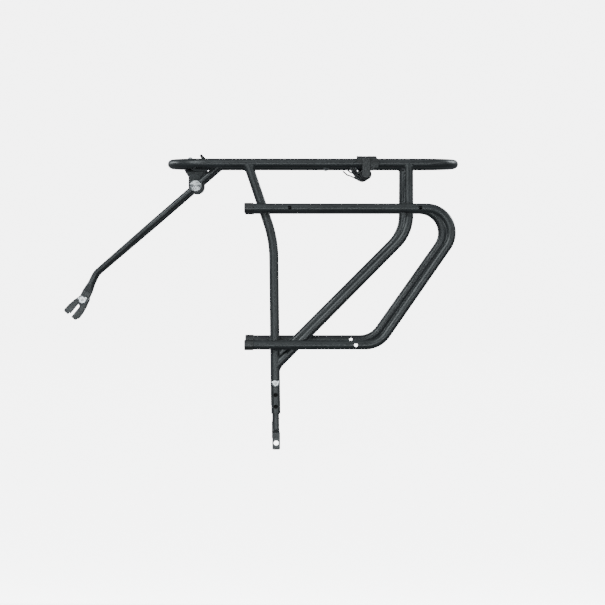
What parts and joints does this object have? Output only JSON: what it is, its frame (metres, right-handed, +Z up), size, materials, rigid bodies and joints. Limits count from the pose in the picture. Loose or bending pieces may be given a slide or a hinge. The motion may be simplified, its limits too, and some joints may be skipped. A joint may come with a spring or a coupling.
{
  "type": "bicycle rear carrier",
  "caption": "Tubular rear bicycle carrier with pannier rails, sliding feet, swinging front stays with fork ends, and a sprung clamp bail on its deck.",
  "frame": {"origin": "halfway between the two foot eyes, on the axis of their bolt holes", "axes": "+X towards the rear of the bicycle, +Z up, -Y the bicycle's left side"},
  "size_m": [0.5218, 0.1764, 0.3851],
  "materials": {
    "powder_coat": "satin black powder coat with a fine orange peel",
    "zinc_steel": "bright zinc plate, turned and slightly dull",
    "black_plastic": "moulded black nylon, fine grain",
    "spring_steel": "dark oiled spring wire"
  },
  "bodies": {
    "carrier": {"deck_loop": "powder_coat", "crossbar_front": "powder_coat", "crossbar_second": "powder_coat", "crossbar_third": "powder_coat", "crossbar_rear": "powder_coat", "front_leg_left": "powder_coat", "front_leg_right": "powder_coat", "rear_leg_left": "powder_coat", "rear_leg_right": "powder_coat", "pannier_rail_left": "powder_coat", "pannier_rail_right": "powder_coat", "cap_upper_left": "black_plastic", "cap_lower_left": "black_plastic", "cap_upper_right": "black_plastic", "cap_lower_right": "black_plastic", "stay_bracket": "powder_coat", "bracket_bolts": "zinc_steel", "bracket_nuts": "zinc_steel", "clamp_bearing_left": "black_plastic", "clamp_bearing_right": "black_plastic", "bearing_screws": "zinc_steel", "clamp_axle": "zinc_steel", "torsion_spring_left": "spring_steel", "torsion_spring_right": "spring_steel", "foot_bolts": "zinc_steel", "foot_nuts": "zinc_steel"},
    "clamp": {"clamp_bail": "spring_steel"},
    "foot_left": {"foot_left": "powder_coat"},
    "stay_clamp_left": {"stay_bolt_left": "zinc_steel", "stay_washer_left": "zinc_steel", "stay_nut_left": "zinc_steel"},
    "stay_rod_left": {"stay_left": "powder_coat", "fork_screw_left": "zinc_steel", "fork_nut_left": "zinc_steel"},
    "fork_left": {"fork_left": "powder_coat"},
    "foot_right": {"foot_right": "powder_coat"},
    "stay_clamp_right": {"stay_bolt_right": "zinc_steel", "stay_washer_right": "zinc_steel", "stay_nut_right": "zinc_steel"},
    "stay_rod_right": {"stay_right": "powder_coat", "fork_screw_right": "zinc_steel", "fork_nut_right": "zinc_steel"},
    "fork_right": {"fork_right": "powder_coat"}
  },
  "joints": [
    {"name": "clamp_open", "type": "hinge", "parent": "carrier", "child": "clamp", "pos_m": [0.1176, 0, 0.3496], "axis": [0, 1, 0], "range_deg": [0, 85], "stiffness_Nm_per_rad": 1.5, "springref_deg": -114.59, "deforming": ["torsion_spring_left", "torsion_spring_right"]},
    {"name": "foot_slide_left", "type": "slide", "parent": "carrier", "child": "foot_left", "axis": [0.0113, -0.0685, -0.9976], "range_m": [0, 0.03]},
    {"name": "stay_swing_left", "type": "hinge", "parent": "carrier", "child": "stay_clamp_left", "pos_m": [-0.105, -0.039, 0.3346], "axis": [0, 1, 0], "range_deg": [-45, 70]},
    {"name": "stay_slide_left", "type": "slide", "parent": "stay_clamp_left", "child": "stay_rod_left", "axis": [-0.757, 0, -0.6534], "range_m": [-0.012, 0.03]},
    {"name": "fork_turn_left", "type": "hinge", "parent": "stay_rod_left", "child": "fork_left", "pos_m": [-0.2554, -0.0165, 0.1846], "axis": [0, 1, 0], "range_deg": [-60, 60]},
    {"name": "foot_slide_right", "type": "slide", "parent": "carrier", "child": "foot_right", "axis": [0.0113, 0.0685, -0.9976], "range_m": [0, 0.03]},
    {"name": "stay_swing_right", "type": "hinge", "parent": "carrier", "child": "stay_clamp_right", "pos_m": [-0.105, 0.039, 0.3346], "axis": [0, 1, 0], "range_deg": [-45, 70]},
    {"name": "stay_slide_right", "type": "slide", "parent": "stay_clamp_right", "child": "stay_rod_right", "axis": [-0.757, 0, -0.6534], "range_m": [-0.012, 0.03]},
    {"name": "fork_turn_right", "type": "hinge", "parent": "stay_rod_right", "child": "fork_right", "pos_m": [-0.2554, 0.0165, 0.1846], "axis": [0, 1, 0], "range_deg": [-60, 60]}
  ]
}
